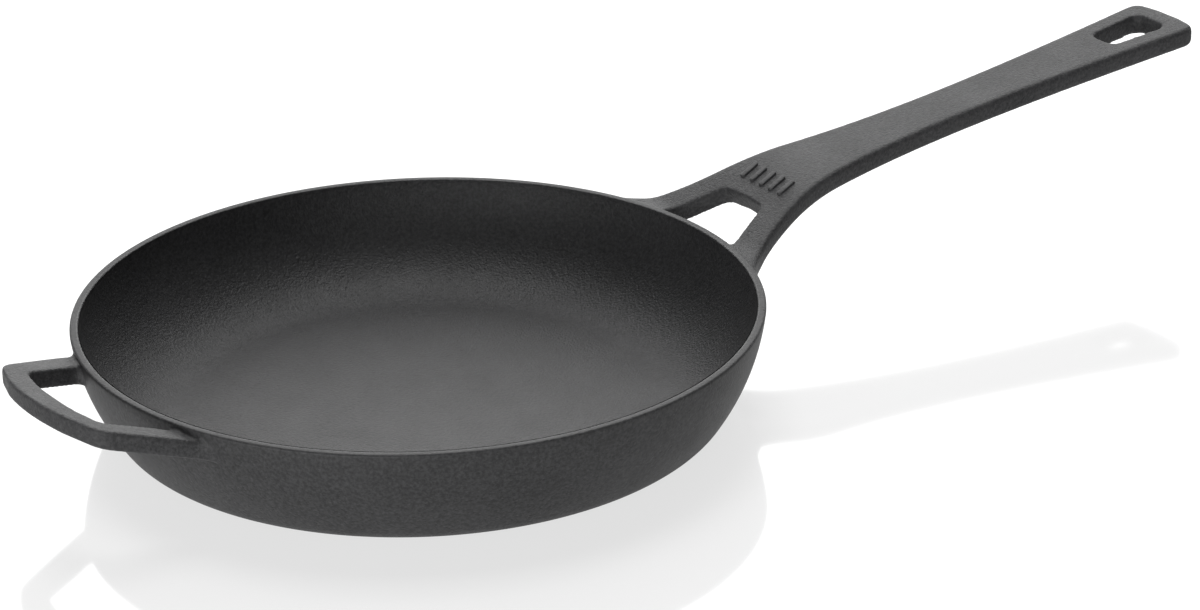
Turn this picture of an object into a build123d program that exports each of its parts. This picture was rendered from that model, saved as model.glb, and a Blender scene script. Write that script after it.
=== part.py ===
from build123d import *
import os
from math import atan2, cos, radians, sin, sqrt, tan

# Cast iron skillet. The real pan is a single sand casting. It is modelled as its working regions,
# separate closed solids that meet face to face: floor plate, coved corner, side wall, handle yoke,
# handle grip, helper handle, and the raised ribs on the yoke.
# Frame: +Z up, origin at the centre of the flat underside, +X along the long handle.
# All sizes are in millimetres. Both handles are drawn as a plan outline and a side line, because
# their sides stand upright, the way the mould's two halves part.

os.makedirs("parts", exist_ok=True)

# ---------------------------------------------------------------- driving dimensions: bowl
rim_radius = 140.0          # outside of the rim
bowl_height = 45.4          # underside to the top of the rim
base_radius = 120.8         # where the wall line meets the underside
floor_thickness = 4.4       # cooking floor
wall_thickness = 3.8        # measured level, at the rim
wall_bow = 3.5              # outward bow of the wall, outside and inside
cove_radius = 44.0          # inside corner between floor and wall
base_edge_radius = 14.0     # outside corner between underside and wall
rim_edge_radius = 1.0       # rounding of both rim edges

# ---------------------------------------------------------------- driving dimensions: long handle
handle_reach = 259.0        # rim to tip
handle_thickness = 8.7      # top face to bottom face, upright
handle_drop = 0.7           # top of the handle's root below the rim
handle_land = 2.5           # level stretch of the top face past the rim
yoke_rise_angle = 20.5      # slope of the top face over the yoke
grip_rise_angle = 5.6       # slope of the top face over the grip
bend_position = 43.5        # rim to the corner between the two slopes
bend_radius = 120.0
land_bend_radius = 14.0
root_half_width = 41.5      # at the rim
shoulder_offset = 22.0      # rim to the shoulder station
shoulder_half_width = 29.0
throat_offset = 54.0        # rim to the throat station, past the bend
throat_half_width = 20.6
neck_offset = 150.0         # rim to the narrowest station
neck_half_width = 14.5
end_half_width = 20.4       # at the tip's corners
tip_crown = 2.0             # how far the tip's middle stands past its corners
tip_corner_radius = 6.0
handle_edge_radius = 2.6    # top and bottom edges
hole_edge_radius = 1.4      # edges of the window and the slot
root_flare_length = 12.0    # the legs spread over this length, inside the rim
root_flare_width = 14.4     # how far each leg's outer edge spreads there
root_overrun = 1.5          # how far the window's root end runs on into the wall
yoke_end_offset = 62.0      # rim to the joint between yoke and grip

# ---------------------------------------------------------------- driving dimensions: yoke window
window_gap = 23.6           # rim to the window's far edge
window_root_half_width = 24.6   # where its sides run into the wall
window_far_half_width = 13.2    # at the far edge, before its corners are rounded
window_corner_radius = 5.0

# ---------------------------------------------------------------- driving dimensions: hanging slot
slot_length = 29.0
slot_end_margin = 10.2      # tip to the slot's far end
slot_near_half_width = 7.4
slot_far_half_width = 9.8
slot_corner_radius = 4.5

# ---------------------------------------------------------------- driving dimensions: helper handle
helper_reach = 36.6         # rim to the bow's outside
helper_thickness = 8.0
helper_drop = 1.0           # top of the loop below the rim, at the rim
helper_rise_angle = 16.0
helper_root_depth = 18.0    # how far the legs' outlines run on inside the rim
helper_root_half_width = 48.0   # leg's outer line at the rim
helper_corner_half_width = 39.0 # leg's outer line at the bow
helper_bow_crown = 8.5      # bow's middle past its corners
helper_hole_crown = 4.0     # the same for the bow's inside
helper_leg_width = 10.0
helper_bow_width = 10.8
helper_corner_radius = 10.0
helper_inner_corner_radius = 7.0
helper_edge_radius = 1.6

# ---------------------------------------------------------------- driving dimensions: raised mark
mark_rib_count = 5
mark_rib_pitch = 6.4
mark_rib_length = 10.4
mark_rib_width = 2.6
mark_height = 0.9
mark_offset = 35.5          # rim to the middle of the ribs
mark_slant_angle = 12.0     # ribs lean away from the handle's line

# ---------------------------------------------------------------- how edges are told apart
touch = 0.1                 # places this near are the same place
steepest_face_line = 0.9    # an edge that rises more than this is an upright one

# ---------------------------------------------------------------- worked out: bowl
wall_angle = atan2(rim_radius - base_radius, bowl_height)   # the wall's chord, from upright
inner_rim_radius = rim_radius - wall_thickness
inner_corner_radius = inner_rim_radius - (bowl_height - floor_thickness) * tan(wall_angle)


def chord_radius_at(height):
    """Radius at a height on the chord of the wall's outside, which its bow stands out from."""
    return base_radius + (rim_radius - base_radius) * height / bowl_height


def bowed_middle(low_radius, low_height):
    """Middle point of the bowed wall line from a low corner up to the rim, in the section's plane."""
    top_radius = low_radius + (bowl_height - low_height) * tan(wall_angle)
    return (
        (low_radius + top_radius) / 2 + wall_bow * cos(wall_angle),
        (low_height + bowl_height) / 2 - wall_bow * sin(wall_angle),
    )


# The wall's inside is an arc, and the cove is a smaller arc inside it, touching it and the floor.
inner_middle = bowed_middle(inner_corner_radius, floor_thickness)
inner_chord = (bowl_height - floor_thickness) / cos(wall_angle)
inner_arc_radius = inner_chord**2 / (8 * wall_bow) + wall_bow / 2
inner_arc_centre_r = inner_middle[0] - inner_arc_radius * cos(wall_angle)
inner_arc_centre_z = inner_middle[1] + inner_arc_radius * sin(wall_angle)
cove_centre_offset = inner_arc_radius - cove_radius
cove_centre_drop = inner_arc_centre_z - (floor_thickness + cove_radius)
floor_flat_radius = inner_arc_centre_r + sqrt(cove_centre_offset**2 - cove_centre_drop**2)
cove_top = inner_arc_centre_z - inner_arc_radius * cove_centre_drop / cove_centre_offset

# Solid of the bowl's outside, which cuts the handles to the wall.
with BuildPart() as bowl_envelope:
    with BuildSketch(Plane.XZ) as envelope_section:
        with BuildLine():
            Polyline((0, bowl_height), (0, 0), (base_radius, 0))
            ThreePointArc((base_radius, 0), bowed_middle(base_radius, 0), (rim_radius, bowl_height))
            Line((rim_radius, bowl_height), (0, bowl_height))
        make_face()
        fillet(envelope_section.vertices().group_by(Axis.Y)[0].sort_by(Axis.X)[-1], base_edge_radius)
        fillet(envelope_section.vertices().sort_by(Axis.X)[-1], rim_edge_radius)
    revolve(axis=Axis.Z)

# Solid of the bowl's hollow, with the cove at its floor.
with BuildPart() as bowl_hollow:
    with BuildSketch(Plane.XZ) as hollow_section:
        with BuildLine():
            Polyline((0, bowl_height), (0, floor_thickness), (inner_corner_radius, floor_thickness))
            ThreePointArc(
                (inner_corner_radius, floor_thickness),
                inner_middle,
                (inner_rim_radius, bowl_height),
            )
            Line((inner_rim_radius, bowl_height), (0, bowl_height))
        make_face()
        fillet(hollow_section.vertices().group_by(Axis.Y)[0].sort_by(Axis.X)[-1], cove_radius)
    revolve(axis=Axis.Z)

with BuildPart() as bowl_shell:
    add(bowl_envelope.part)
    add(bowl_hollow.part, mode=Mode.SUBTRACT)
    inner_rim_edge = bowl_shell.edges().filter_by(GeomType.CIRCLE).filter_by(
        lambda e: abs(e.radius - inner_rim_radius) < touch and abs(e.center().Z - bowl_height) < touch
    )
    fillet(inner_rim_edge, rim_edge_radius)

# ---------------------------------------------------------------- floor plate
with BuildPart() as floor_plate:
    add(bowl_shell.part)
    with BuildSketch(Plane.XY):
        Circle(floor_flat_radius)
    extrude(amount=bowl_height, mode=Mode.INTERSECT)
floor_plate.part.label = "floor_plate"
export_step(floor_plate.part, "parts/floor_plate.step")

# ---------------------------------------------------------------- coved corner
with BuildPart() as coved_corner:
    add(bowl_shell.part)
    with BuildSketch(Plane.XY):
        Circle(floor_flat_radius)
    extrude(amount=bowl_height, mode=Mode.SUBTRACT)
    split(bisect_by=Plane.XY.offset(cove_top), keep=Keep.BOTTOM)
coved_corner.part.label = "coved_corner"
export_step(coved_corner.part, "parts/coved_corner.step")

# ---------------------------------------------------------------- side wall with its rim
with BuildPart() as side_wall:
    add(bowl_shell.part)
    split(bisect_by=Plane.XY.offset(cove_top), keep=Keep.TOP)
side_wall.part.label = "side_wall"
export_step(side_wall.part, "parts/side_wall.step")

# ---------------------------------------------------------------- worked out: long handle
handle_root_height = bowl_height - handle_drop
handle_tip_x = rim_radius + handle_reach
handle_inside_x = rim_radius / 2        # the handles' blanks start well inside the bowl
land_end_x = rim_radius + handle_land
bend_x = rim_radius + bend_position
bend_height = handle_root_height + (bend_x - land_end_x) * tan(radians(yoke_rise_angle))
tip_height = bend_height + (handle_tip_x - bend_x) * tan(radians(grip_rise_angle))
handle_clear_height = tip_height + handle_thickness
window_root_radius = chord_radius_at(handle_root_height - handle_thickness) - root_overrun
window_root_x = sqrt(window_root_radius**2 - window_root_half_width**2)
window_far_x = rim_radius + window_gap
slot_far_x = handle_tip_x - slot_end_margin
slot_near_x = slot_far_x - slot_length
yoke_end_plane = Plane.YZ.offset(rim_radius + yoke_end_offset)


def handle_top_line(lift):
    """Side line of the handle's top face, lifted by an upright distance."""
    return FilletPolyline(
        (handle_inside_x, handle_root_height + lift),
        (land_end_x, handle_root_height + lift),
        (bend_x, bend_height + lift),
        (handle_tip_x, tip_height + lift),
        radius=[land_bend_radius, bend_radius],
    )


with BuildSketch(Plane.XY) as window_plan:
    with BuildLine():
        Polyline(
            (window_root_x, window_root_half_width),
            (window_far_x, window_far_half_width),
            (window_far_x, -window_far_half_width),
            (window_root_x, -window_root_half_width),
        )
        RadiusArc(
            (window_root_x, -window_root_half_width),
            (window_root_x, window_root_half_width),
            -window_root_radius,
        )
    make_face()
    fillet(window_plan.vertices().group_by(Axis.X)[-1], window_corner_radius)

with BuildSketch(Plane.XY) as slot_plan:
    with BuildLine():
        Polyline(
            (slot_near_x, slot_near_half_width),
            (slot_far_x, slot_far_half_width),
            (slot_far_x, -slot_far_half_width),
            (slot_near_x, -slot_near_half_width),
            close=True,
        )
    make_face()
    fillet(slot_plan.vertices(), slot_corner_radius)


def runs_up(edge):
    """Whether an edge stands nearly upright at its middle."""
    return abs((edge % 0.5).Z) > steepest_face_line


def follows_handle_outline(edge):
    """Whether an edge of the handle's blank lies along its plan outline or round a hole."""
    middle = edge.center()
    straight_across = abs((edge % 0.5).Y) > 1 - touch
    hole_end = any(abs(middle.X - x) < touch for x in (window_far_x, slot_near_x, slot_far_x))
    tip_end = middle.X > handle_tip_x - tip_crown
    return middle.X > rim_radius and not runs_up(edge) and (not straight_across or hole_end or tip_end)


def bounds_handle_hole(edge):
    """Whether an outline edge belongs to the window or the slot."""
    middle = edge.center()
    in_window = middle.X < window_far_x + touch and abs(middle.Y) < window_root_half_width
    in_slot = slot_near_x - touch < middle.X < slot_far_x + touch and abs(middle.Y) < slot_far_half_width
    return in_window or in_slot


def follows_helper_outline(edge):
    """Whether an edge of the helper's blank lies along its plan outline, outside the rim."""
    return edge.center().X < -rim_radius and not runs_up(edge)


# Whole long handle: side profile and plan outline cut from one blank, as it is moulded.
with BuildPart() as long_handle:
    with BuildSketch(Plane.XZ) as handle_side:
        with BuildLine():
            top_line = handle_top_line(0)
            bottom_line = handle_top_line(-handle_thickness)
            Line(top_line @ 0, bottom_line @ 0)
            Line(top_line @ 1, bottom_line @ 1)
        make_face()
    extrude(amount=2 * root_half_width, both=True)
    with BuildSketch(Plane.XY) as handle_plan:
        with BuildLine():
            half_edge = Spline(
                (rim_radius - root_flare_length, root_half_width + root_flare_width),
                (rim_radius, root_half_width),
                (rim_radius + shoulder_offset, shoulder_half_width),
                (rim_radius + throat_offset, throat_half_width),
                (rim_radius + neck_offset, neck_half_width),
                (handle_tip_x - tip_crown, end_half_width),
            )
            inside_edge = Line(half_edge @ 0, (handle_inside_x, (half_edge @ 0).Y))
            mirror(about=Plane.XZ)
            ThreePointArc(half_edge @ 1, (handle_tip_x, 0), (handle_tip_x - tip_crown, -end_half_width))
            Line(inside_edge @ 1, (handle_inside_x, -(half_edge @ 0).Y))
        make_face()
        fillet(handle_plan.vertices().group_by(Axis.X)[-1], tip_corner_radius)
        add(window_plan.sketch, mode=Mode.SUBTRACT)
        add(slot_plan.sketch, mode=Mode.SUBTRACT)
    extrude(amount=handle_clear_height, mode=Mode.INTERSECT)
    hole_edges = long_handle.edges().filter_by(follows_handle_outline).filter_by(bounds_handle_hole)
    fillet(hole_edges, hole_edge_radius)
    outline_edges = long_handle.edges().filter_by(follows_handle_outline)
    fillet(outline_edges.filter_by(bounds_handle_hole, reverse=True), handle_edge_radius)
    add(bowl_envelope.part, mode=Mode.SUBTRACT)

# ---------------------------------------------------------------- handle yoke
with BuildPart() as handle_yoke:
    add(long_handle.part)
    split(bisect_by=yoke_end_plane, keep=Keep.BOTTOM)
handle_yoke.part.label = "handle_yoke"
export_step(handle_yoke.part, "parts/handle_yoke.step")

# ---------------------------------------------------------------- handle grip
with BuildPart() as handle_grip:
    add(long_handle.part)
    split(bisect_by=yoke_end_plane, keep=Keep.TOP)
handle_grip.part.label = "handle_grip"
export_step(handle_grip.part, "parts/handle_grip.step")

# ---------------------------------------------------------------- raised mark
with BuildPart() as raised_mark:
    with BuildSketch(Plane.XZ):
        with BuildLine():
            mark_foot = handle_top_line(0)
            mark_face = handle_top_line(mark_height)
            Line(mark_foot @ 0, mark_face @ 0)
            Line(mark_foot @ 1, mark_face @ 1)
        make_face()
    extrude(amount=throat_half_width, both=True)
    with BuildSketch(Plane.XY):
        with Locations((rim_radius + mark_offset, 0)):
            with GridLocations(0, mark_rib_pitch, 1, mark_rib_count):
                SlotOverall(mark_rib_length, mark_rib_width, rotation=mark_slant_angle)
    extrude(amount=handle_clear_height, mode=Mode.INTERSECT)
raised_mark.part.label = "raised_mark"
export_step(raised_mark.part, "parts/raised_mark.step")

# ---------------------------------------------------------------- worked out: helper handle
helper_slope = tan(radians(helper_rise_angle))
helper_root_height = bowl_height - helper_drop
helper_tip_x = -(rim_radius + helper_reach)
helper_inside_x = -rim_radius + helper_root_depth
helper_blank_near_x = -handle_inside_x
helper_blank_far_x = helper_tip_x - helper_thickness


def helper_top_at(x):
    """Height of the helper loop's top face at a place along the handle's line."""
    return helper_root_height - (x + rim_radius) * helper_slope


def draw_helper_outline(tip_x, bow_crown, root_half_width, corner_half_width, corner_radius):
    """Sketch the plan outline of the helper loop, or of its hole, running on into the wall."""
    corner_x = tip_x + bow_crown
    leg_spread = (root_half_width - corner_half_width) / (-rim_radius - corner_x)
    inside_half_width = corner_half_width + leg_spread * (helper_inside_x - corner_x)
    with BuildSketch(Plane.XY, mode=Mode.PRIVATE) as outline:
        with BuildLine():
            Polyline(
                (corner_x, corner_half_width),
                (helper_inside_x, inside_half_width),
                (helper_inside_x, -inside_half_width),
                (corner_x, -corner_half_width),
            )
            ThreePointArc((corner_x, -corner_half_width), (tip_x, 0), (corner_x, corner_half_width))
        make_face()
        fillet(outline.vertices().filter_by(lambda v: abs(v.X - corner_x) < touch), corner_radius)
    return outline.sketch


# ---------------------------------------------------------------- helper handle
with BuildPart() as helper_handle:
    with BuildSketch(Plane.XZ):
        with BuildLine():
            Polyline(
                (helper_blank_near_x, helper_top_at(helper_blank_near_x)),
                (helper_blank_far_x, helper_top_at(helper_blank_far_x)),
                (helper_blank_far_x, helper_top_at(helper_blank_far_x) - helper_thickness),
                (helper_blank_near_x, helper_top_at(helper_blank_near_x) - helper_thickness),
                close=True,
            )
        make_face()
    extrude(amount=2 * helper_root_half_width, both=True)
    with BuildSketch(Plane.XY):
        add(
            draw_helper_outline(
                helper_tip_x,
                helper_bow_crown,
                helper_root_half_width,
                helper_corner_half_width,
                helper_corner_radius,
            )
        )
        add(
            draw_helper_outline(
                helper_tip_x + helper_bow_width,
                helper_hole_crown,
                helper_root_half_width - helper_leg_width,
                helper_corner_half_width - helper_leg_width,
                helper_inner_corner_radius,
            ),
            mode=Mode.SUBTRACT,
        )
    extrude(amount=handle_clear_height, mode=Mode.INTERSECT)
    fillet(helper_handle.edges().filter_by(follows_helper_outline), helper_edge_radius)
    add(bowl_envelope.part, mode=Mode.SUBTRACT)
helper_handle.part.label = "helper_handle"
export_step(helper_handle.part, "parts/helper_handle.step")
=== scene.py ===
"""Cast iron skillet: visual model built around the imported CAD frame.

The pan is one sand casting. Its looks are made as four pieces: the spun bowl, the long handle
with its forked yoke, the helper loop, and the ribs raised on the yoke. Each handle is blanked
out, joined to a slice of the bowl's wall, and softened, so that it runs into the wall with the
small fillets of a casting. All sizes are in metres, in the frame of the CAD model.
"""

import logging
import math
from contextlib import contextmanager
from dataclasses import dataclass, field
from enum import Enum
from typing import Callable, Iterator, Sequence

import bmesh
import bpy
import numpy as np
from mathutils import Matrix, Vector


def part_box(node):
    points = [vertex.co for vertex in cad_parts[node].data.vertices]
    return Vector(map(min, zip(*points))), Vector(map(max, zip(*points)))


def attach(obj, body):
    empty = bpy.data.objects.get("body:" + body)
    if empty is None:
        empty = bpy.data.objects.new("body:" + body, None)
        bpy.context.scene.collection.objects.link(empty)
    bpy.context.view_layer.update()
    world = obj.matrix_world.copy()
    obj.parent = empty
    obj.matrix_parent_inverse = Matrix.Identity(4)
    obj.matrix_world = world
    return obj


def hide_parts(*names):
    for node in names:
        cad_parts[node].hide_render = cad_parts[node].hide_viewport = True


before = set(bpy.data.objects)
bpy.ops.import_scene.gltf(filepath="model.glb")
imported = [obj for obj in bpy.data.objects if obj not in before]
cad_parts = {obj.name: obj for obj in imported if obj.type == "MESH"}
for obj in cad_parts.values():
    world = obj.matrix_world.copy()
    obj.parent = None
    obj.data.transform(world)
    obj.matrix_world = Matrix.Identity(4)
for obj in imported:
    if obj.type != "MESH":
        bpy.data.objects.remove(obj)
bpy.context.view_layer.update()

LOG = logging.getLogger("skillet")
# A rounded outline's chords stray at most this far from the true arc.
HAIR = 2e-5
# Points nearer to each other than this are one point.
SAME_POINT = 1e-6

Point = tuple[float, float]
Corner = tuple[float, float, float]
Tree = bpy.types.NodeTree
Socket = bpy.types.NodeSocket


class Cut(Enum):
    """What a boolean leaves of the piece that it works on."""

    COMMON = "INTERSECT"
    LESS = "DIFFERENCE"


# ------------------------------------------------------------------ bench work


@contextmanager
def editing(piece: bpy.types.Object) -> Iterator[None]:
    """Open one piece in edit mode with everything selected, and close it afterwards.

    Args:
        piece: The mesh object to edit.
    """
    select_only(piece)
    bpy.ops.object.mode_set(mode="EDIT")
    bpy.ops.mesh.select_all(action="SELECT")
    yield
    bpy.ops.object.mode_set(mode="OBJECT")


def select_only(*pieces: bpy.types.Object) -> None:
    """Select these pieces and nothing else, the first of them active.

    Args:
        *pieces: The mesh objects to select.
    """
    if bpy.context.object and bpy.context.object.mode != "OBJECT":
        bpy.ops.object.mode_set(mode="OBJECT")
    bpy.ops.object.select_all(action="DESELECT")
    for piece in pieces:
        piece.select_set(True)
    bpy.context.view_layer.objects.active = pieces[0]


def draw_line(name: str, points: Sequence[Vector]) -> bpy.types.Object:
    """Draw an open line by extruding one point from place to place.

    Args:
        name: Name of the new object.
        points: Places along the line.

    Returns:
        The new object, with its line selected.
    """
    bpy.ops.object.select_all(action="DESELECT")
    bpy.ops.mesh.primitive_plane_add(size=0.001, location=(0, 0, 0))
    line = bpy.context.object
    line.name = name
    with editing(line):
        bpy.ops.mesh.merge(type="CENTER")
        bpy.ops.transform.translate(value=points[0])
        for here, there in zip(points, points[1:]):
            bpy.ops.mesh.extrude_region_move(TRANSFORM_OT_translate={"value": there - here})
    return line


def raise_prism(name: str, points: Sequence[Vector], depth: Vector) -> bpy.types.Object:
    """Close an outline into a face and extrude it to a solid.

    Args:
        name: Name of the new object.
        points: Corners of the outline, in order.
        depth: How far and which way the face is extruded.

    Returns:
        The closed solid, its faces outwards.
    """
    prism = draw_line(name, points)
    with editing(prism):
        bpy.ops.mesh.edge_face_add()
        bpy.ops.mesh.extrude_region_move(TRANSFORM_OT_translate={"value": depth})
        bpy.ops.mesh.select_all(action="SELECT")
        bpy.ops.mesh.normals_make_consistent(inside=False)
    return prism


def spin_solid(name: str, section: Sequence[Point], steps: int) -> bpy.types.Object:
    """Turn a section once round the upright axis.

    Args:
        name: Name of the new object.
        section: Radius and height of each point, from the axis round to the axis.
        steps: Faces round the turn.

    Returns:
        The closed solid of revolution.
    """
    solid = draw_line(name, [Vector((radius, 0, height)) for radius, height in section])
    with editing(solid):
        bpy.ops.mesh.spin(steps=steps, angle=math.tau, center=(0, 0, 0), axis=(0, 0, 1))
        bpy.ops.mesh.select_all(action="SELECT")
        bpy.ops.mesh.remove_doubles(threshold=SAME_POINT)
        bpy.ops.mesh.normals_make_consistent(inside=False)
    return solid


def apply_modifier(piece: bpy.types.Object, kind: str, **settings: object) -> None:
    """Add a modifier, set it up and apply it.

    Args:
        piece: The mesh object to change.
        kind: Blender's name for the modifier's type.
        **settings: The modifier's own settings.
    """
    select_only(piece)
    modifier = piece.modifiers.new(kind.title(), kind)
    for name, value in settings.items():
        setattr(modifier, name, value)
    bpy.ops.object.modifier_apply(modifier=modifier.name)


def cut_with(piece: bpy.types.Object, tool: bpy.types.Object, cut: Cut) -> None:
    """Cut a piece with another solid, which is then removed.

    Args:
        piece: The solid that is changed.
        tool: The solid that cuts it.
        cut: What is left of the piece.
    """
    apply_modifier(piece, "BOOLEAN", object=tool, operation=cut.value, solver="EXACT")
    bpy.data.objects.remove(tool)


def join_into(piece: bpy.types.Object, *others: bpy.types.Object) -> None:
    """Join other meshes into a piece.

    Args:
        piece: The mesh that takes the others in.
        *others: The meshes that go into it.
    """
    select_only(piece, *others)
    bpy.ops.object.join()


def block(name: str, low: Vector, high: Vector) -> bpy.types.Object:
    """Make a plain block between two corners, its place in its mesh.

    Args:
        name: Name of the new object.
        low: Lowest corner.
        high: Highest corner.

    Returns:
        The block.
    """
    bpy.ops.object.select_all(action="DESELECT")
    bpy.ops.mesh.primitive_cube_add(size=1)
    made = bpy.context.object
    made.name = name
    with editing(made):
        bpy.ops.transform.resize(value=high - low)
        bpy.ops.transform.translate(value=(low + high) / 2)
    return made


def finish_mesh(piece: bpy.types.Object, angle: float = math.radians(50)) -> None:
    """Merge a piece's doubles, turn its faces outwards and shade it smooth.

    Args:
        piece: The mesh object.
        angle: Edges sharper than this stay crisp.
    """
    with editing(piece):
        bpy.ops.mesh.remove_doubles(threshold=SAME_POINT)
        bpy.ops.mesh.normals_make_consistent(inside=False)
    select_only(piece)
    bpy.ops.object.shade_smooth_by_angle(angle=angle)


# ------------------------------------------------------------------ drawing


def arc(centre: Point, radius: float, start: float, end: float, steps: int) -> list[Point]:
    """Points along an arc.

    Args:
        centre: Centre of the arc.
        radius: Its radius.
        start: Angle of its first point, in radians.
        end: Angle of its last point, in radians.
        steps: Number of chords.

    Returns:
        The points, both ends included.
    """
    angles = np.linspace(start, end, steps + 1)
    return [(centre[0] + radius * math.cos(a), centre[1] + radius * math.sin(a)) for a in angles]


def rounded(corners: Sequence[Corner]) -> list[Point]:
    """Close a polygon with rounded corners, whose chords stay within a hair of the arc.

    Args:
        corners: Each corner's two coordinates and its radius, 0 for a sharp one.

    Returns:
        Points round the outline.
    """
    outline: list[Point] = []
    for place, (x, y, radius) in enumerate(corners):
        corner = Vector((x, y))
        if radius == 0:
            outline.append((x, y))
            continue
        before = (Vector(corners[place - 1][:2]) - corner).normalized()
        after = (Vector(corners[(place + 1) % len(corners)][:2]) - corner).normalized()
        half_angle = before.angle(after) / 2
        centre = corner + (before + after).normalized() * radius / math.sin(half_angle)
        first = corner + before * radius / math.tan(half_angle) - centre
        last = corner + after * radius / math.tan(half_angle) - centre
        turn = first.angle_signed(last)
        start = math.atan2(first.y, first.x)
        chord_turn = 2 * math.acos(1 - HAIR / radius)
        steps = max(2, math.ceil(abs(turn) / chord_turn))
        outline += arc((centre.x, centre.y), radius, start, start - turn, steps)
    return outline


def smooth_line(stations: Sequence[Point], count: int) -> list[Point]:
    """Run a smooth curve through stations, as a batten bends between pins.

    Args:
        stations: Places that the curve goes through.
        count: Number of points along it.

    Returns:
        Evenly spread points from the first station to the last.
    """
    pins = np.array(stations, float)
    along = np.concatenate([[0.0], np.cumsum(np.linalg.norm(np.diff(pins, axis=0), axis=1))])
    gap = np.diff(along)
    size = len(pins)
    system = np.eye(size)
    pull = np.zeros((size, 2))
    for pin in range(1, size - 1):
        system[pin, pin - 1 : pin + 2] = gap[pin - 1], 2 * (gap[pin - 1] + gap[pin]), gap[pin]
        slope_before = (pins[pin] - pins[pin - 1]) / gap[pin - 1]
        slope_after = (pins[pin + 1] - pins[pin]) / gap[pin]
        pull[pin] = 6 * (slope_after - slope_before)
    bend = np.linalg.solve(system, pull)
    points = []
    for length in np.linspace(0, along[-1], count):
        span = min(int(np.searchsorted(along, length, side="right")) - 1, size - 2)
        share = (length - along[span]) / gap[span]
        rest = 1 - share
        line = pins[span] * rest + pins[span + 1] * share
        curve = rest * (rest**2 - 1) * bend[span] + share * (share**2 - 1) * bend[span + 1]
        point = line + curve * gap[span] ** 2 / 6
        points.append((float(point[0]), float(point[1])))
    return points


# ------------------------------------------------------------------ finishes


def set_range(node: bpy.types.Node, source: Point, target: Point) -> None:
    """Set the two ranges of a Map Range node.

    Args:
        node: The node.
        source: Range that comes in.
        target: Range that goes out.
    """
    names = ("From Min", "From Max", "To Min", "To Max")
    for name, number in zip(names, (*source, *target)):
        node.inputs[name].default_value = number


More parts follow.
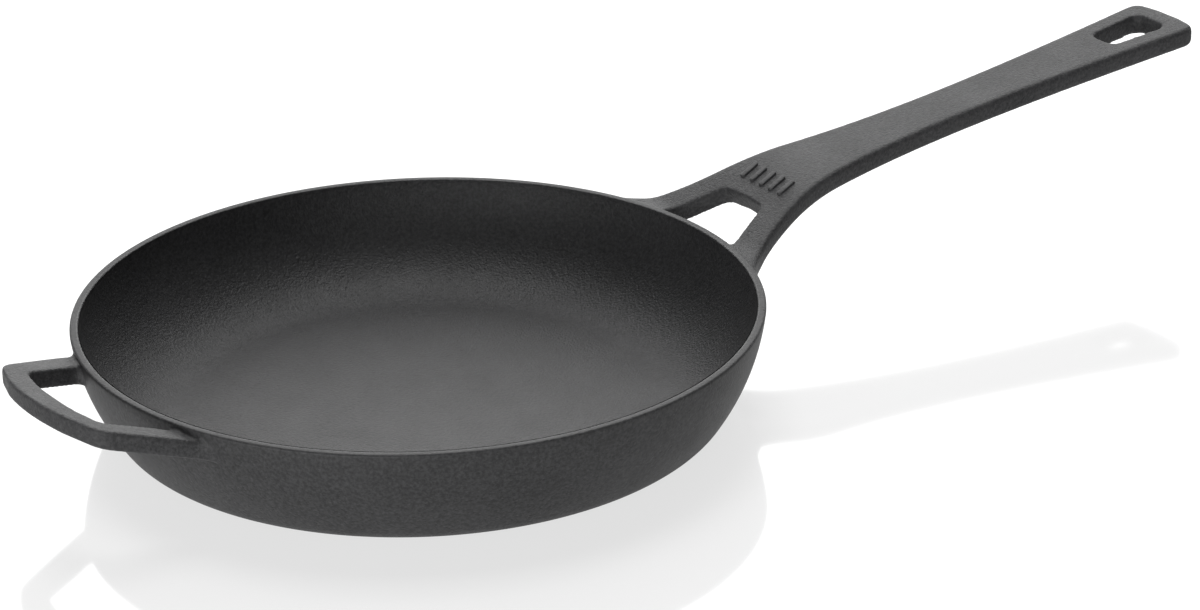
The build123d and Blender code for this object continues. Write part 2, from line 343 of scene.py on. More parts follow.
@dataclass(frozen=True)
class CastIronFinish:
    """Matt black seasoned cast iron, with the fine grain that the sand mould leaves."""

    name: str
    tone: tuple[float, float, float] = (0.020, 0.020, 0.021)
    # Lighter tone for sharp outer edges: partly edge wear, partly a painted highlight along the rims.
    worn_and_highlight_tone: tuple[float, float, float] = (0.085, 0.085, 0.087)
    specular: float = 0.25
    roughness: float = 0.55
    roughness_spread: float = 0.06
    grain_scale: float = 1000.0
    grain_depth: float = 0.00045
    lump_scale: float = 210.0
    lump_depth: float = 0.00016
    pit_scale: float = 520.0
    pit_depth: float = 0.00020
    pit_size: float = 0.35
    relief_strength: float = 0.6
    mottle_scale: float = 18.0
    mottle_share: float = 0.16
    speck_fineness: float = 0.7
    speck_share: float = 0.45
    gloss_scale: float = 55.0
    wear_and_highlight_edges: Point = (0.515, 0.60)
    wear_and_highlight: float = 0.5

    def build(self) -> bpy.types.Material:
        """Make the material.

        Returns:
            The node material, on object coordinates.
        """
        material = bpy.data.materials.new(self.name)
        material.use_nodes = True
        tree = material.node_tree
        shader = tree.nodes["Principled BSDF"]
        shader.inputs["Specular IOR Level"].default_value = self.specular
        place = tree.nodes.new("ShaderNodeTexCoord").outputs["Object"]
        self._colour(tree, shader, place)
        self._relief(tree, shader, place)
        return material

    def _noise(self, tree: Tree, place: Socket, scale: float, detail: float) -> Socket:
        """Add a noise pattern.

        Args:
            tree: The material's nodes.
            place: Socket with the coordinates.
            scale: Size of the pattern, larger is finer.
            detail: Octaves of finer pattern in it.

        Returns:
            The pattern's value.
        """
        noise = tree.nodes.new("ShaderNodeTexNoise")
        noise.inputs["Scale"].default_value = scale
        noise.inputs["Detail"].default_value = detail
        noise.inputs["Roughness"].default_value = 0.6
        tree.links.new(place, noise.inputs["Vector"])
        return noise.outputs["Fac"]

    def _range(self, tree: Tree, value: Socket, source: Point, target: Point) -> Socket:
        """Spread a value from one range to another.

        Args:
            tree: The material's nodes.
            value: Socket with the value.
            source: Range that comes in.
            target: Range that goes out.

        Returns:
            The value in its new range.
        """
        spread = tree.nodes.new("ShaderNodeMapRange")
        set_range(spread, source, target)
        tree.links.new(value, spread.inputs["Value"])
        return spread.outputs["Result"]

    def _colour(self, tree: Tree, shader: bpy.types.Node, place: Socket) -> None:
        """Tone with slow and fine mottling, lighter on sharp outer edges as edge wear and as a painted
        highlight, and uneven gloss.

        Args:
            tree: The material's nodes.
            shader: The surface shader.
            place: Socket with the coordinates.
        """
        mottle = self._noise(tree, place, self.mottle_scale, 4.0)
        slow = self._range(tree, mottle, (0.3, 0.7), (0.0, self.mottle_share))
        specks = self._noise(tree, place, self.grain_scale * self.speck_fineness, 2.0)
        fine = self._range(tree, specks, (0.35, 0.75), (0.0, self.speck_share))
        # Painted highlight and edge wear: convex edges, found by pointiness, are mixed toward the
        # lighter tone.
        edges = tree.nodes.new("ShaderNodeNewGeometry").outputs["Pointiness"]
        total = self._range(tree, edges, self.wear_and_highlight_edges, (0.0, self.wear_and_highlight))
        for extra in (slow, fine):
            add = tree.nodes.new("ShaderNodeMath")
            add.operation = "ADD"
            add.use_clamp = True
            tree.links.new(total, add.inputs[0])
            tree.links.new(extra, add.inputs[1])
            total = add.outputs["Value"]
        blend = tree.nodes.new("ShaderNodeMix")
        blend.data_type = "RGBA"
        blend.inputs["A"].default_value = (*self.tone, 1)
        blend.inputs["B"].default_value = (*self.worn_and_highlight_tone, 1)
        tree.links.new(total, blend.inputs["Factor"])
        tree.links.new(blend.outputs["Result"], shader.inputs["Base Color"])
        gloss = self._noise(tree, place, self.gloss_scale, 3.0)
        spread = self.roughness_spread / 2
        limits = (self.roughness - spread, self.roughness + spread)
        tree.links.new(self._range(tree, gloss, (0.3, 0.7), limits), shader.inputs["Roughness"])

    def _relief(self, tree: Tree, shader: bpy.types.Node, place: Socket) -> None:
        """Sand grain, shallow lumps and scattered pits as bump.

        Args:
            tree: The material's nodes.
            shader: The surface shader.
            place: Socket with the coordinates.
        """
        pits = tree.nodes.new("ShaderNodeTexVoronoi")
        pits.inputs["Scale"].default_value = self.pit_scale
        tree.links.new(place, pits.inputs["Vector"])
        dimples = self._range(tree, pits.outputs["Distance"], (0.0, self.pit_size), (0.0, 1.0))
        layers = (
            (self._noise(tree, place, self.lump_scale, 2.0), self.lump_depth),
            (dimples, self.pit_depth),
            (self._noise(tree, place, self.grain_scale, 3.0), self.grain_depth),
        )
        below = None
        for height, depth in layers:
            bump = tree.nodes.new("ShaderNodeBump")
            bump.inputs["Strength"].default_value = self.relief_strength
            bump.inputs["Distance"].default_value = depth
            tree.links.new(height, bump.inputs["Height"])
            if below:
                tree.links.new(below, bump.inputs["Normal"])
            below = bump.outputs["Normal"]
        tree.links.new(below, shader.inputs["Normal"])


@dataclass(frozen=True)
class WhiteAcrylic:
    """Glossy white sheet that the pan stands on, lit a little from below."""

    name: str = "white_acrylic"
    tone: tuple[float, float, float] = (0.22, 0.22, 0.22)
    roughness: float = 0.07
    glow: float = 0.70

    def build(self) -> bpy.types.Material:
        """Make the material.

        Returns:
            The node material.
        """
        material = bpy.data.materials.new(self.name)
        material.use_nodes = True
        shader = material.node_tree.nodes["Principled BSDF"]
        shader.inputs["Base Color"].default_value = (*self.tone, 1)
        shader.inputs["Roughness"].default_value = self.roughness
        shader.inputs["Emission Color"].default_value = (1, 1, 1, 1)
        shader.inputs["Emission Strength"].default_value = self.glow
        return material


# ------------------------------------------------------------------ bowl


@dataclass
class Bowl:
    """The round bowl: floor, coved corner and bowed wall, spun in one piece."""

    inner_finish: CastIronFinish
    outer_finish: CastIronFinish
    base_radius: float = 0.1208
    wall_thickness: float = 0.0038
    wall_bow: float = 0.0035
    cove_radius: float = 0.044
    base_edge_radius: float = 0.014
    rim_edge_radius: float = 0.0010
    steps_round: int = 288
    core_steps_round: int = 192
    underside_rings: int = 8
    foot_steps: int = 14
    outer_wall_steps: int = 20
    inner_wall_steps: int = 14
    cove_steps: int = 24
    floor_rings: int = 10
    rim_radius: float = field(init=False)
    height: float = field(init=False)
    floor_thickness: float = field(init=False)
    floor_radius: float = field(init=False)
    cove_top: float = field(init=False)

    def __post_init__(self) -> None:
        """Take the main sizes from the CAD frame."""
        floor_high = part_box("floor_plate")[1]
        wall_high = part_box("side_wall")[1]
        self.rim_radius = wall_high.y
        self.height = wall_high.z
        self.floor_thickness = floor_high.z
        self.floor_radius = floor_high.y
        self.cove_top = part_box("coved_corner")[1].z

    def outside(self, inset: float = 0.0) -> list[Point]:
        """Line of the bowl's outside, from the underside's middle up to the rim.

        Args:
            inset: How far inside the outer surface the line runs.

        Returns:
            Radius and height of each point.
        """
        lean = math.atan2(self.rim_radius - self.base_radius, self.height)
        chord = self.height / math.cos(lean)
        wall_radius = chord**2 / (8 * self.wall_bow) + self.wall_bow / 2
        reach = self.wall_bow - wall_radius
        middle_radius = (self.base_radius + self.rim_radius) / 2
        centre = (middle_radius + reach * math.cos(lean), self.height / 2 - reach * math.sin(lean))
        fold = wall_radius - self.base_edge_radius
        drop = centre[1] - self.base_edge_radius
        fold_centre = (centre[0] + math.sqrt(fold**2 - drop**2), self.base_edge_radius)
        foot_angle = -math.asin(drop / fold)
        rim_angle = math.asin((self.height - centre[1]) / wall_radius)
        fold_radius = self.base_edge_radius - inset
        rings = self.underside_rings
        line = [(ring * fold_centre[0] / rings, inset) for ring in range(rings)]
        line += arc(fold_centre, fold_radius, -math.pi / 2, foot_angle, self.foot_steps)
        line += arc(centre, wall_radius - inset, foot_angle, rim_angle, self.outer_wall_steps)[1:]
        return line

    def wall_radius_at(self, height: float) -> float:
        """Outer radius of the bowl at a height, taken on the wall's chord.

        Args:
            height: Height above the underside.

        Returns:
            The radius.
        """
        return self.base_radius + (self.rim_radius - self.base_radius) * height / self.height

    def follow_wall(self, half_width: float, height: float, fillet: float) -> list[Corner]:
        """Root end of a handle's opening, which runs along the wall on the +X side.

        Args:
            half_width: Half of the opening's width where it meets the wall.
            height: Height at which it meets the wall.
            fillet: Rounding of its two corners.

        Returns:
            Corners from the +Y side to the -Y side.
        """
        radius = self.wall_radius_at(height)
        spread = math.asin(half_width / radius)
        reach = radius * math.cos(spread)
        inner = 0.6 * spread
        middle = [(x, y, 0.0) for x, y in arc((0.0, 0.0), radius, inner, -inner, 8)]
        return [(reach, half_width, fillet), *middle, (reach, -half_width, fillet)]

    def inside(self) -> list[Point]:
        """Line of the bowl's inside, from the rim down to the floor's middle.

        Returns:
            Radius and height of each point.
        """
        centre = (self.floor_radius, self.floor_thickness + self.cove_radius)
        lift = math.asin((self.cove_top - centre[1]) / self.cove_radius)
        out = Vector((math.cos(lift), math.sin(lift)))
        seam = Vector(centre) + out * self.cove_radius
        lip = Vector((self.rim_radius - self.wall_thickness, self.height))
        span = seam - lip
        wall_radius = span.length_squared / (2 * out.dot(span))
        wall_centre = seam - out * wall_radius
        lip_angle = math.asin((self.height - wall_centre.y) / wall_radius)
        line = arc(tuple(wall_centre), wall_radius, lip_angle, lift, self.inner_wall_steps)
        line += arc(centre, self.cove_radius, lift, -math.pi / 2, self.cove_steps)[1:]
        rings = self.floor_rings
        for ring in range(rings - 1, -1, -1):
            line.append((self.floor_radius * ring / rings, self.floor_thickness))
        return line

    def section(self) -> list[Point]:
        """Whole section of the bowl with both rim edges rounded.

        Returns:
            Radius and height of each point, from axis to axis.
        """
        outside = self.outside()
        inside = self.inside()
        edge = self.rim_edge_radius
        rim = [
            (*outside[-2], 0.0),
            (*outside[-1], edge),
            (*inside[0], edge),
            (*inside[1], 0.0),
        ]
        return outside[:-2] + rounded(rim) + inside[2:]

    def build(self) -> bpy.types.Object:
        """Spin the bowl and dress it.

        Returns:
            The finished piece.
        """
        bowl = spin_solid("skillet_bowl", self.section(), self.steps_round)
        finish_mesh(bowl)
        bowl.data.materials.append(self.inner_finish.build())
        bowl.data.materials.append(self.outer_finish.build())
        # Faces that look into the bowl get the inner finish, whose darker tone is painted shade.
        for face in bowl.data.polygons:
            outward = face.normal.xy.dot(face.center.xy) > 0
            face.material_index = int(outward or face.normal.z < 0)
        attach(bowl, "root")
        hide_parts("floor_plate", "coved_corner", "side_wall")
        return bowl

    def core(self, inset: float, open_height: float) -> bpy.types.Object:
        """Solid that fills the bowl's outside, less an inset, and stands open above the rim.

        Args:
            inset: Distance inside the outer surface.
            open_height: How far it goes on upwards past the rim.

        Returns:
            The solid, for cutting or joining.
        """
        line = self.outside(inset)
        rim = line[-1]
        if open_height > 0:
            line += [(rim[0], rim[1] + open_height), (0.0, rim[1] + open_height)]
        else:
            line = [point for point in line if point[1] < self.height - inset]
            line += [(rim[0], self.height - inset), (0.0, self.height - inset)]
        return spin_solid("bowl_core", line, self.core_steps_round)


# ------------------------------------------------------------------ casting the handles


@dataclass(frozen=True)
class Casting:
    """How a handle's crisp blank is softened into a casting that grows out of the wall."""

    grid: float = 0.0007
    smoothing: int = 9
    wall_cover: float = 0.0003
    wall_bite: float = 0.0016
    root_reach: float = 0.0075
    root_smoothing: int = 36
    crisp_angle: float = math.radians(60)
    edge_segments: int = 4
    collar_inward: float = 0.035
    collar_outward: float = 0.010
    collar_below: float = 0.004
    clear_above: float = 0.02

    def round_edges(self, blank: bpy.types.Object, radius: float) -> None:
        """Round the crisp outer edges of a blank.

        Args:
            blank: The blank, which is changed.
            radius: Rounding of its edges.
        """
        shortest = radius / 5
        with editing(blank):
            bpy.ops.mesh.remove_doubles(threshold=shortest)
        settings = {"limit_method": "ANGLE", "angle_limit": self.crisp_angle, "use_clamp_overlap": False}
        apply_modifier(blank, "BEVEL", width=radius, segments=self.edge_segments, **settings)

    def soften(
        self, blank: bpy.types.Object, bowl: Bowl, side: int, half_width: float, bottom: float
    ) -> None:
        """Join the blank to a slice of wall, round it all, and cut the bowl's space away.

        Args:
            blank: The handle's blank, which is changed.
            bowl: The bowl that it grows out of.
            side: 1 where the handle is on the +X side, -1 on the other.
            half_width: Half of the width of the slice.
            bottom: Height of the handle's underside at the wall.
        """
        inner, outer = bowl.rim_radius - self.collar_inward, bowl.rim_radius + self.collar_outward
        near, far = sorted((side * inner, side * outer))
        low = Vector((near, -half_width, bottom - self.collar_below))
        high = Vector((far, half_width, bowl.height))
        collar = bowl.core(self.wall_cover, 0.0)
        cut_with(collar, block("collar_space", low, high), Cut.COMMON)
        join_into(blank, collar)
        apply_modifier(blank, "REMESH", mode="VOXEL", voxel_size=self.grid)
        apply_modifier(blank, "SMOOTH", factor=0.5, iterations=self.smoothing)
        roots = blank.vertex_groups.new(name="roots")
        for vertex in blank.data.vertices:
            radius = math.hypot(vertex.co.x, vertex.co.y)
            gap = radius - bowl.wall_radius_at(vertex.co.z)
            share = 1 - abs(gap) / self.root_reach
            if share > 0:
                roots.add([vertex.index], share, "REPLACE")
        settings = {"factor": 0.5, "iterations": self.root_smoothing, "vertex_group": "roots"}
        apply_modifier(blank, "SMOOTH", **settings)
        cut_with(blank, bowl.core(self.wall_bite, self.clear_above), Cut.LESS)


# ------------------------------------------------------------------ long handle


@dataclass
class LongHandle:
    """The long handle: forked yoke round a window, waisted grip and hanging slot."""

    finish: CastIronFinish
    casting: Casting
    bowl: Bowl
    thickness: float = 0.0087
    root_drop: float = 0.0007
    land: float = 0.0025
    yoke_slope: float = math.radians(20.5)
    grip_slope: float = math.radians(5.6)
    bend: float = 0.0435
    land_bend_radius: float = 0.014
    bend_radius: float = 0.120
    window_gap: float = 0.0236
    window_root: float = 0.0246
    window_far: float = 0.0132
    window_crown: float = 0.0010
    window_corner: float = 0.005
    slot_length: float = 0.029
    slot_margin: float = 0.0102
    slot_near: float = 0.0074
    slot_far: float = 0.0098
    slot_corner: float = 0.0045
    tip_crown: float = 0.0020
    tip_corner: float = 0.006
    end_half_width: float = 0.0204
    edge_radius: float = 0.0022
    window_root_fillet: float = 0.003
    # Distance past the rim and half-width: legs, shoulders, throat and waist.
    outline: tuple[Point, ...] = (
        (-0.012, 0.0559),
        (0.0, 0.0415),
        (0.022, 0.0290),
        (0.054, 0.0206),
        (0.150, 0.0145),
    )
    outline_points: int = 90
    tip_flat_drop: float = 0.0002
    tip_flat_half_width: float = 0.007
    slope_step: float = 0.002
    window_cut: float = 0.03
    blank_height: float = 0.2
    blank_half_depth: float = 0.08
    collar_half_width: float = 0.066
    rim: float = field(init=False)
    tip: float = field(init=False)
    inside: float = field(init=False)
    root_height: float = field(init=False)
    top_line: list[Point] = field(init=False)

    def __post_init__(self) -> None:
        """Take the rim and the tip from the CAD frame."""
        self.rim = self.bowl.rim_radius
        self.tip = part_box("handle_grip")[1].x
        self.inside = self.rim / 2
        self.root_height = self.bowl.height - self.root_drop
        self.top_line = self._side_line()

    def _side_line(self) -> list[Point]:
        """Side line of the top face, level at the root, then rising twice.

        Returns:
            Place and height of each point.
        """
        land_end = self.rim + self.land
        bend = self.rim + self.bend
        bend_height = self.root_height + (bend - land_end) * math.tan(self.yoke_slope)
        tip_height = bend_height + (self.tip - bend) * math.tan(self.grip_slope)
        beyond = self.tip + self.thickness
        beyond_height = tip_height + self.thickness * math.tan(self.grip_slope)
        corners = [
            (self.inside, self.root_height, 0.0),
            (land_end, self.root_height, self.land_bend_radius),
            (bend, bend_height, self.bend_radius),
            (beyond, beyond_height, 0.0),
        ]
        return rounded(corners)

    def top_at(self, x: float) -> tuple[float, float]:
        """Height and slope of the top face.

        Args:
            x: Place along the handle.

        Returns:
            Height in metres and slope in radians.
        """
        places, heights = zip(*self.top_line)
        step = self.slope_step
        near, here, far = np.interp([x - step, x, x + step], places, heights)
        return float(here), math.atan2(float(far - near), 2 * step)

    def plan(self) -> list[Point]:
        """Plan outline: flared legs, shoulders, throat, waist and a crowned tip.

        Returns:
            Points round the outline.
        """
        end = (self.tip - self.tip_crown, self.end_half_width)
        stations = [(self.rim + past, half_width) for past, half_width in self.outline] + [end]
        clear = self.tip - 2 * self.tip_corner
        points = smooth_line(stations, self.outline_points)
        edge = [(x, y, 0.0) for x, y in points if x < clear]
        flat = (self.tip - self.tip_flat_drop, self.tip_flat_half_width, 0.0)
        half = [(self.inside, edge[0][1], 0.0), *edge, (*end, self.tip_corner), flat]
        return rounded(half + [(x, -y, radius) for x, y, radius in reversed(half)])

    def window(self) -> bpy.types.Object:
        """Cutter for the yoke's window, square to the sloping face.

        Returns:
            The cutter.
        """
        far = self.rim + self.window_gap
        bottom = self.root_height - self.thickness
        root = self.bowl.follow_wall(self.window_root, bottom, self.window_root_fillet)
        corners = [
            *root,
            (far - self.window_crown, -self.window_far, self.window_corner),
            (far, 0.0, 0.0),
            (far - self.window_crown, self.window_far, self.window_corner),
        ]
        height, _ = self.top_at(far)
        points = [Vector((x, y, height - self.window_cut)) for x, y in rounded(corners)]
        cutter = raise_prism("window_cutter", points, Vector((0, 0, 2 * self.window_cut)))
        with editing(cutter):
            turn_all(Matrix.Rotation(-self.yoke_slope, 3, "Y"), Vector((far, 0, height)))
        return cutter

    def slot(self) -> bpy.types.Object:
        """Cutter for the hanging slot.

        Returns:
            The cutter.
        """
        far = self.tip - self.slot_margin
        near = far - self.slot_length
        corners = [
            (near, self.slot_near, self.slot_corner),
            (far, self.slot_far, self.slot_corner),
            (far, -self.slot_far, self.slot_corner),
            (near, -self.slot_near, self.slot_corner),
        ]
        points = [Vector((x, y, 0)) for x, y in rounded(corners)]
        return raise_prism("slot_cutter", points, Vector((0, 0, self.blank_height)))

    def build(self) -> bpy.types.Object:
        """Blank out the handle, open its window and slot, cast it and dress it.

        Returns:
            The finished piece.
        """
        plan = [Vector((x, y, 0)) for x, y in self.plan()]
        handle = raise_prism("forked_handle", plan, Vector((0, 0, self.blank_height)))
        lower = [(x, z - self.thickness) for x, z in reversed(self.top_line)]
        half_depth = self.blank_half_depth
        side = [Vector((x, -half_depth, z)) for x, z in self.top_line + lower]
        cut_with(handle, raise_prism("side_blank", side, Vector((0, 2 * half_depth, 0))), Cut.COMMON)
        self.casting.round_edges(handle, self.edge_radius)
        cut_with(handle, self.window(), Cut.LESS)
        cut_with(handle, self.slot(), Cut.LESS)
        bottom = self.root_height - self.thickness
        self.casting.soften(handle, self.bowl, 1, self.collar_half_width, bottom)
        finish_mesh(handle)
        handle.data.materials.append(self.finish.build())
        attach(handle, "root")
        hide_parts("handle_yoke", "handle_grip")
        return handle


# ------------------------------------------------------------------ helper loop


@dataclass
class HelperLoop:
    """The open loop opposite the long handle."""

    finish: CastIronFinish
    casting: Casting
    bowl: Bowl
    thickness: float = 0.0080
    root_drop: float = 0.0010
    slope: float = math.radians(16)
    root_half_width: float = 0.048
    corner_half_width: float = 0.039
    bow_crown: float = 0.0085
    hole_crown: float = 0.0040
    leg_width: float = 0.0100
    bow_width: float = 0.0108
    corner_radius: float = 0.010
    inner_corner_radius: float = 0.007
    root_fillet: float = 0.010
    hole_fillet: float = 0.005
    edge_radius: float = 0.0012
    wall_overlap: float = 0.0012
    bow_steps: int = 8
    fairing_steps: int = 8
    blank_height: float = 0.1
    blank_half_depth: float = 0.07
    collar_half_width: float = 0.070
    rim: float = field(init=False)
    tip: float = field(init=False)
    inside: float = field(init=False)

    def __post_init__(self) -> None:
        """Take the rim and the loop's far side from the CAD frame."""
        self.rim = self.bowl.rim_radius
        self.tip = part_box("helper_handle")[0].x
        self.inside = -self.rim / 2

    def bow(self, tip: float, crown: float, half_width: float, radius: float) -> list[Corner]:
        """Corners of one bowed end of the loop or of its hole.

        Args:
            tip: Where the bow's middle is.
            crown: How far the middle stands past the corners.
            half_width: Half of the width at the corners.
            radius: Rounding of the corners.

        Returns:
            Corners from one side to the other.
        """
        bow_radius = (half_width**2 + crown**2) / (2 * crown)
        spread = math.asin(half_width / bow_radius)
        inner = 0.55 * spread
        centre = (tip + bow_radius, 0.0)
        middle = arc(centre, bow_radius, math.pi - inner, math.pi + inner, self.bow_steps)
        corner = tip + crown
        bowed = [(x, y, 0.0) for x, y in middle]
        return [(corner, half_width, radius), *bowed, (corner, -half_width, radius)]

    def fair_root(self) -> list[Point]:
        """Concave fairing from the leg's outer edge into the wall, on the +Y side.

        Returns:
            Points from the leg to the wall.
        """
        corner = Vector((self.tip + self.bow_crown, self.corner_half_width))
        along = (Vector((-self.rim, self.root_half_width)) - corner).normalized()
        out = Vector((-along.y, along.x))
        start = corner + out * self.root_fillet
        reach = self.rim - self.wall_overlap + self.root_fillet
        lead = start.dot(along)
        travel = -lead - math.sqrt(lead**2 - start.length_squared + reach**2)
        centre = start + along * travel
        first = -out
        last = -centre.normalized()
        turn = first.angle_signed(last)
        angle = math.atan2(first.y, first.x)
        return arc(tuple(centre), self.root_fillet, angle, angle - turn, self.fairing_steps)

    def plan(self) -> list[Point]:
        """Plan outline of the loop, faired into the wall on both sides.

        Returns:
            Points round the outline.
        """
        fairing = [(x, y, 0.0) for x, y in self.fair_root()]
        half = [(self.inside, fairing[-1][1], 0.0), *reversed(fairing)]
        bow = self.bow(self.tip, self.bow_crown, self.corner_half_width, self.corner_radius)
        return rounded(half + bow + [(x, -y, radius) for x, y, radius in reversed(half)])

    def slab(self, root_height: float) -> bpy.types.Object:
        """Sloping slab that the loop's top and underside are cut to.

        Args:
            root_height: Height of the top face at the rim.

        Returns:
            The slab.
        """
        rise = math.tan(self.slope)
        far = self.tip - self.thickness
        tops = [(x, root_height - (x + self.rim) * rise) for x in (self.inside, far)]
        side = [*tops, *((x, z - self.thickness) for x, z in reversed(tops))]
        half_depth = self.blank_half_depth
        points = [Vector((x, -half_depth, z)) for x, z in side]
        return raise_prism("slab", points, Vector((0, 2 * half_depth, 0)))

    def hole(self, root_height: float) -> bpy.types.Object:
        """Cutter for the opening that the fingers go through.

        Args:
            root_height: Height of the top face at the rim.

        Returns:
            The cutter.
        """
        tip = self.tip + self.bow_width
        half_width = self.corner_half_width - self.leg_width
        corners = self.bow(tip, self.hole_crown, half_width, self.inner_corner_radius)
        root = self.root_half_width - self.leg_width
        wall = self.bowl.follow_wall(root, root_height - self.thickness, self.hole_fillet)
        corners += [(-x, -y, radius) for x, y, radius in wall]
        points = [Vector((x, y, 0)) for x, y in rounded(corners)]
        return raise_prism("hole_cutter", points, Vector((0, 0, self.blank_height)))

    def build(self) -> bpy.types.Object:
        """Blank out the loop, open its hole, cast it and dress it.

        Returns:
            The finished piece.
        """
        plan = [Vector((x, y, 0)) for x, y in self.plan()]
        loop = raise_prism("helper_loop", plan, Vector((0, 0, self.blank_height)))
        root_height = self.bowl.height - self.root_drop
        cut_with(loop, self.slab(root_height), Cut.COMMON)
        self.casting.round_edges(loop, self.edge_radius)
        cut_with(loop, self.hole(root_height), Cut.LESS)
        bottom = root_height - self.thickness
        self.casting.soften(loop, self.bowl, -1, self.collar_half_width, bottom)
        finish_mesh(loop)
        loop.data.materials.append(self.finish.build())
        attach(loop, "root")
        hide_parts("helper_handle")
        return loop


# ------------------------------------------------------------------ ribs


@dataclass
class YokeRibs:
    """Five plain ribs raised on the yoke."""

    finish: CastIronFinish
    handle: LongHandle
    count: int = 5
    pitch: float = 0.0064
    length: float = 0.0104
    width: float = 0.0026
    height: float = 0.0009
    sink: float = 0.0010
    slant: float = math.radians(12)
    end_rounding: float = 0.48
    end_segments: int = 6
    top_rounding: float = 0.5
    top_segments: int = 3

    def rib(self) -> bpy.types.Object:
        """Model one rib at the middle of the yoke.

        Returns:
            The rib.
        """
        low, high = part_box("raised_mark")
        middle = (low.x + high.x) / 2
        surface, slope = self.handle.top_at(middle)
        half = Vector((self.length, self.width, 0)) / 2
        low_corner = Vector((-half.x, -half.y, -self.sink))
        rib = block("yoke_ribs", low_corner, Vector((half.x, half.y, self.height)))
        nearly_top = self.height * 0.99
        with editing(rib):
            select_edges(lambda a, b: abs(a.z - b.z) > self.height)
            bpy.ops.mesh.bevel(offset=self.width * self.end_rounding, segments=self.end_segments)
            select_edges(lambda a, b: min(a.z, b.z) > nearly_top)
            bpy.ops.mesh.bevel(offset=self.height * self.top_rounding, segments=self.top_segments)
            bpy.ops.mesh.select_all(action="SELECT")
            turn_all(Matrix.Rotation(self.slant, 3, "Z"), Vector())
            turn_all(Matrix.Rotation(-slope, 3, "Y"), Vector())
            bpy.ops.transform.translate(value=(middle, 0, surface))
        return rib

    def build(self) -> bpy.types.Object:
        """Copy the rib across the yoke and dress the row.

        Returns:
            The finished piece.
        """
        first = self.rib()
        copies = []
        for place in range(1, self.count):
            select_only(first)
            bpy.ops.object.duplicate()
            copies.append(bpy.context.object)
            with editing(copies[-1]):
                bpy.ops.transform.translate(value=(0, place * self.pitch, 0))
        join_into(first, *copies)
        with editing(first):
            bpy.ops.transform.translate(value=(0, -(self.count - 1) * self.pitch / 2, 0))
        finish_mesh(first)
        first.data.materials.append(self.finish.build())
        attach(first, "root")
        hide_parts("raised_mark")
        return first


def select_edges(wanted: Callable[[Vector, Vector], bool]) -> None:
    """Select the edges of the mesh in edit mode that a test picks by their two ends.

    Args:
        wanted: The test.
    """
    mesh = bpy.context.object.data
    bpy.ops.mesh.select_all(action="DESELECT")
    bpy.ops.mesh.select_mode(type="EDGE")
    shape = bmesh.from_edit_mesh(mesh)
    for edge in shape.edges:
        edge.select_set(wanted(edge.verts[0].co, edge.verts[1].co))
    shape.select_flush_mode()
    bmesh.update_edit_mesh(mesh)


def turn_all(turn: Matrix, centre: Vector) -> None:
    """Turn the whole mesh in edit mode.

    Args:
        turn: The rotation.
        centre: The point that stays where it is.
    """
    mesh = bpy.context.object.data
    shape = bmesh.from_edit_mesh(mesh)
    bmesh.ops.rotate(shape, cent=centre, matrix=turn, verts=shape.verts)
    bmesh.update_edit_mesh(mesh)


# ------------------------------------------------------------------ studio


@dataclass(frozen=True)
class SoftBox:
    """A rectangular soft light that points at the pan."""

    name: str
    place: Vector
    size: Point
    power: float
    aim: tuple[float, float, float] = (0.05, 0.0, 0.03)

    def hang(self) -> None:
        """Hang the box at its place."""
        bpy.ops.object.light_add(type="AREA", location=self.place)
        lamp = bpy.context.object
        lamp.name = self.name
        lamp.data.shape = "RECTANGLE"
        lamp.data.size, lamp.data.size_y = self.size
        lamp.data.energy = self.power
        lamp.rotation_euler = (Vector(self.aim) - self.place).to_track_quat("-Z", "Y").to_euler()


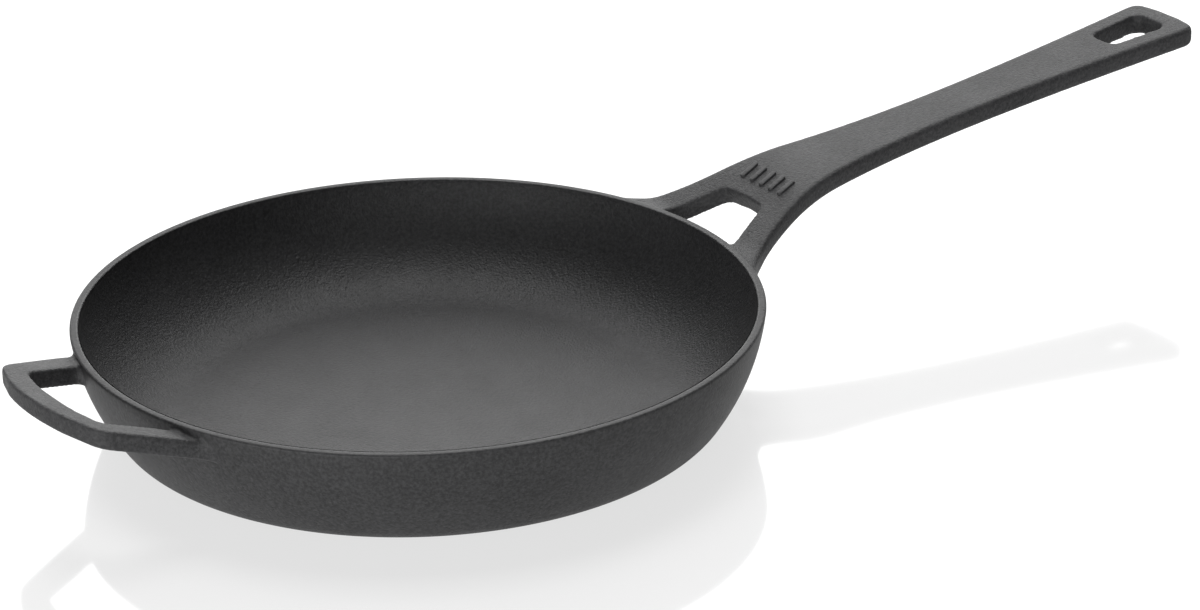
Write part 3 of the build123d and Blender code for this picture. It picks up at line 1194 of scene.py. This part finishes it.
@dataclass
class Studio:
    """Glossy white floor, soft boxes, pale surroundings and the camera."""

    floor_size: float = 14.0
    floor_gap: float = 0.0001
    camera_place: tuple[float, float, float] = (-0.88543, -1.41704, 0.76994)
    camera_heading: float = math.radians(-34.5)
    camera_pitch: float = math.radians(66.5)
    camera_roll: float = math.radians(-1.32)
    lens: float = 135.88
    sensor: float = 36.0
    sky: float = 0.15
    sky_glow: float = 3.0
    glow_height: float = math.radians(27)
    glow_core: float = math.radians(14)
    glow_edge: float = math.radians(42)

    def lay_floor(self) -> None:
        """Lay the floor just under the pan."""
        bpy.ops.object.select_all(action="DESELECT")
        bpy.ops.mesh.primitive_plane_add(size=self.floor_size, location=(0, 0, -self.floor_gap))
        floor = bpy.context.object
        floor.name = "floor"
        floor.data.materials.append(WhiteAcrylic().build())

    def surround(self, ahead: Vector) -> None:
        """Make pale surroundings with a soft glow behind the pan.

        Args:
            ahead: Level direction from the camera to the pan.
        """
        world = bpy.data.worlds.new("pale_sky")
        world.use_nodes = True
        tree = world.node_tree
        level, up = math.cos(self.glow_height), math.sin(self.glow_height)
        glow_place = (ahead * level + Vector((0, 0, up))).normalized()
        aim = tree.nodes.new("ShaderNodeVectorMath")
        aim.operation = "DOT_PRODUCT"
        aim.inputs[1].default_value = glow_place
        tree.links.new(tree.nodes.new("ShaderNodeTexCoord").outputs["Generated"], aim.inputs[0])
        fade = tree.nodes.new("ShaderNodeMapRange")
        fade.interpolation_type = "SMOOTHSTEP"
        edges = (math.cos(self.glow_edge), math.cos(self.glow_core))
        set_range(fade, edges, (self.sky, self.sky_glow))
        tree.links.new(aim.outputs["Value"], fade.inputs["Value"])
        background = tree.nodes["Background"]
        background.inputs["Color"].default_value = (1, 1, 1, 1)
        tree.links.new(fade.outputs["Result"], background.inputs["Strength"])
        bpy.context.scene.world = world

    def light(self) -> None:
        """Light the set: glowing surroundings, a low side fill, a top box and a front fill."""
        ahead = Vector((math.sin(-self.camera_heading), math.cos(-self.camera_heading), 0))
        self.surround(ahead)
        bpy.context.scene.view_settings.view_transform = "Standard"
        over_pan = ahead * 0.75 + Vector((0, 0, 2.0))
        behind_camera = ahead * -2.2 + Vector((0, 0, 0.75))
        boxes = (
            SoftBox("left_fill", place=Vector((-2.1, -0.8, 0.15)), size=(1.6, 0.26), power=26),
            SoftBox("top_box", place=over_pan, size=(1.0, 1.0), power=24),
            SoftBox("front_fill", place=behind_camera, size=(1.4, 0.9), power=10),
        )
        for box in boxes:
            box.hang()

    def set_camera(self) -> None:
        """Stand the camera at its fitted place."""
        data = bpy.data.cameras.new("camera")
        data.lens = self.lens
        data.sensor_width = self.sensor
        camera = bpy.data.objects.new("camera", data)
        bpy.context.scene.collection.objects.link(camera)
        turn = Matrix.Rotation(self.camera_heading, 4, "Z") @ Matrix.Rotation(self.camera_pitch, 4, "X")
        turn = turn @ Matrix.Rotation(self.camera_roll, 4, "Z")
        camera.matrix_world = Matrix.Translation(self.camera_place) @ turn
        bpy.context.scene.camera = camera

    def build(self) -> None:
        """Set up the whole studio."""
        self.lay_floor()
        self.light()
        self.set_camera()


# ------------------------------------------------------------------ whole pan


def report(piece: bpy.types.Object) -> None:
    """Log a piece's name, faces and extent.

    Args:
        piece: The finished piece.
    """
    corners = np.array([vertex.co for vertex in piece.data.vertices])
    triangles = sum(len(face.vertices) - 2 for face in piece.data.polygons)
    low, high = corners.min(0).round(4).tolist(), corners.max(0).round(4).tolist()
    LOG.info("%s: %d triangles, from %s to %s", piece.name, triangles, low, high)


def main() -> None:
    """Build the pan and its studio."""
    logging.basicConfig(level=logging.INFO, format="%(message)s")
    coarse = 0.00065
    # The inside's tone is darker than the outside's as painted shade on the bowl's inner walls.
    inner_side_painted_shade = CastIronFinish(
        "bowl_inner_iron",
        tone=(0.013, 0.013, 0.0135),
        worn_and_highlight_tone=(0.062, 0.062, 0.064),
        specular=0.33,
        roughness=0.47,
        grain_depth=coarse,
    )
    outer_side = CastIronFinish(
        "bowl_outer_iron",
        tone=(0.0165, 0.0165, 0.017),
        worn_and_highlight_tone=(0.072, 0.072, 0.074),
        grain_depth=0.0002,
        lump_depth=0.0001,
    )
    bowl = Bowl(inner_side_painted_shade, outer_side)
    report(bowl.build())
    casting = Casting()
    handle = LongHandle(CastIronFinish("handle_iron", grain_depth=coarse), casting, bowl)
    report(handle.build())
    report(HelperLoop(CastIronFinish("helper_iron", grain_depth=coarse), casting, bowl).build())
    report(YokeRibs(CastIronFinish("mark_iron"), handle).build())
    Studio().build()


if __name__ == "__main__":
    main()
